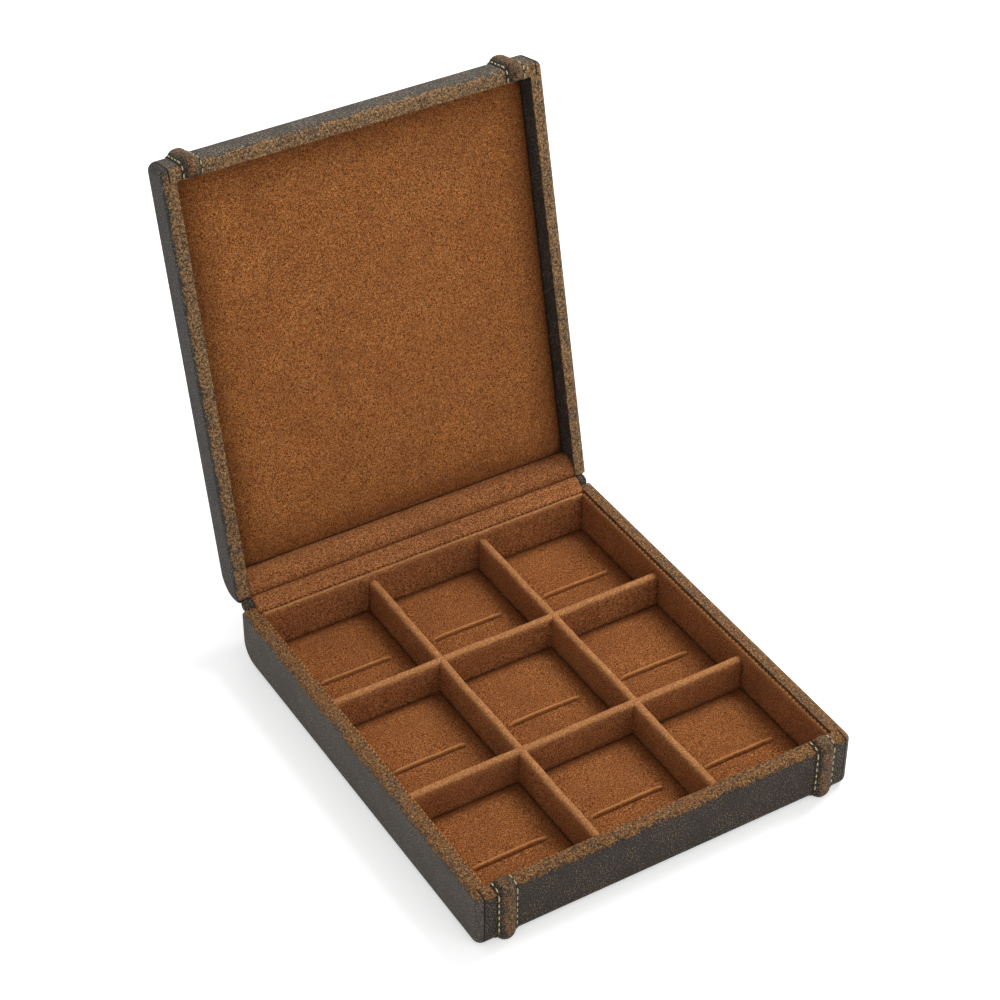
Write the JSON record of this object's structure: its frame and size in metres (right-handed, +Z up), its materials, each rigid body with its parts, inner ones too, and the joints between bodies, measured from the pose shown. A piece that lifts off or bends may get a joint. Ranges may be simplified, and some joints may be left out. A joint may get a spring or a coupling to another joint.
{
  "type": "cufflink box",
  "caption": "Flat leather-covered cufflink case with a hinged lid, suede-lined cells with slotted pads, half-round straps and a padded lid lining.",
  "frame": {"origin": "middle of the base's underside, on the surface the case stands on", "axes": "+Z up, front towards -Y, hinge at the back at +Y, +X to the right seen from the front"},
  "size_m": [0.15, 0.2233, 0.1881],
  "materials": {
    "leather": "dark charcoal grained leather, rubbed tan at the edges",
    "strap_leather": "dark charcoal leather welt over a cord core",
    "thread": "waxed cream thread",
    "suede": "brown suede, soft nap",
    "suede_pad": "brown suede over soft padding",
    "board": "dense grey bookboard",
    "card": "thin card",
    "steel": "plain steel strip hinge"
  },
  "bodies": {
    "base": {"base_floor_board": "board", "base_left_board": "board", "base_right_board": "board", "base_front_board": "board", "base_back_board": "board", "base_front_leather": "leather", "base_back_leather": "leather", "base_left_leather": "leather", "base_right_leather": "leather", "base_bottom_panel": "leather", "base_left_strap": "strap_leather", "base_right_strap": "strap_leather", "base_stitches": "thread", "tray_floor_card": "card", "tray_left_wall": "suede", "tray_right_wall": "suede", "tray_front_wall": "suede", "tray_back_wall": "suede", "divider_left": "suede", "divider_right": "suede", "cross_divider_front": "suede", "cross_divider_back": "suede", "hinge_base_leaf": "steel", "hinge_pin": "steel", "hinge_base_screws": "steel", "base_hinge_lining": "suede", "hinge_spine_leather": "leather", "slot_pad_front_left": "suede_pad", "slot_pad_front_middle": "suede_pad", "slot_pad_front_right": "suede_pad", "slot_pad_centre_left": "suede_pad", "slot_pad_centre_middle": "suede_pad", "slot_pad_centre_right": "suede_pad", "slot_pad_back_left": "suede_pad", "slot_pad_back_middle": "suede_pad", "slot_pad_back_right": "suede_pad"},
    "lid": {"lid_top_board": "board", "lid_left_board": "board", "lid_right_board": "board", "lid_front_board": "board", "lid_back_board": "board", "lid_top_leather": "leather", "lid_front_leather": "leather", "lid_left_leather": "leather", "lid_right_leather": "leather", "lid_left_strap": "strap_leather", "lid_right_strap": "strap_leather", "lid_stitches": "thread", "lid_pad_card": "card", "lid_pad": "suede_pad", "lid_hinge_lining": "suede", "hinge_lid_leaf": "steel", "hinge_lid_screws": "steel"}
  },
  "joints": [
    {"name": "lid_hinge", "type": "hinge", "parent": "base", "child": "lid", "pos_m": [0, 0.084, 0.0225], "axis": [1, 0, 0], "range_deg": [0, 103]}
  ]
}
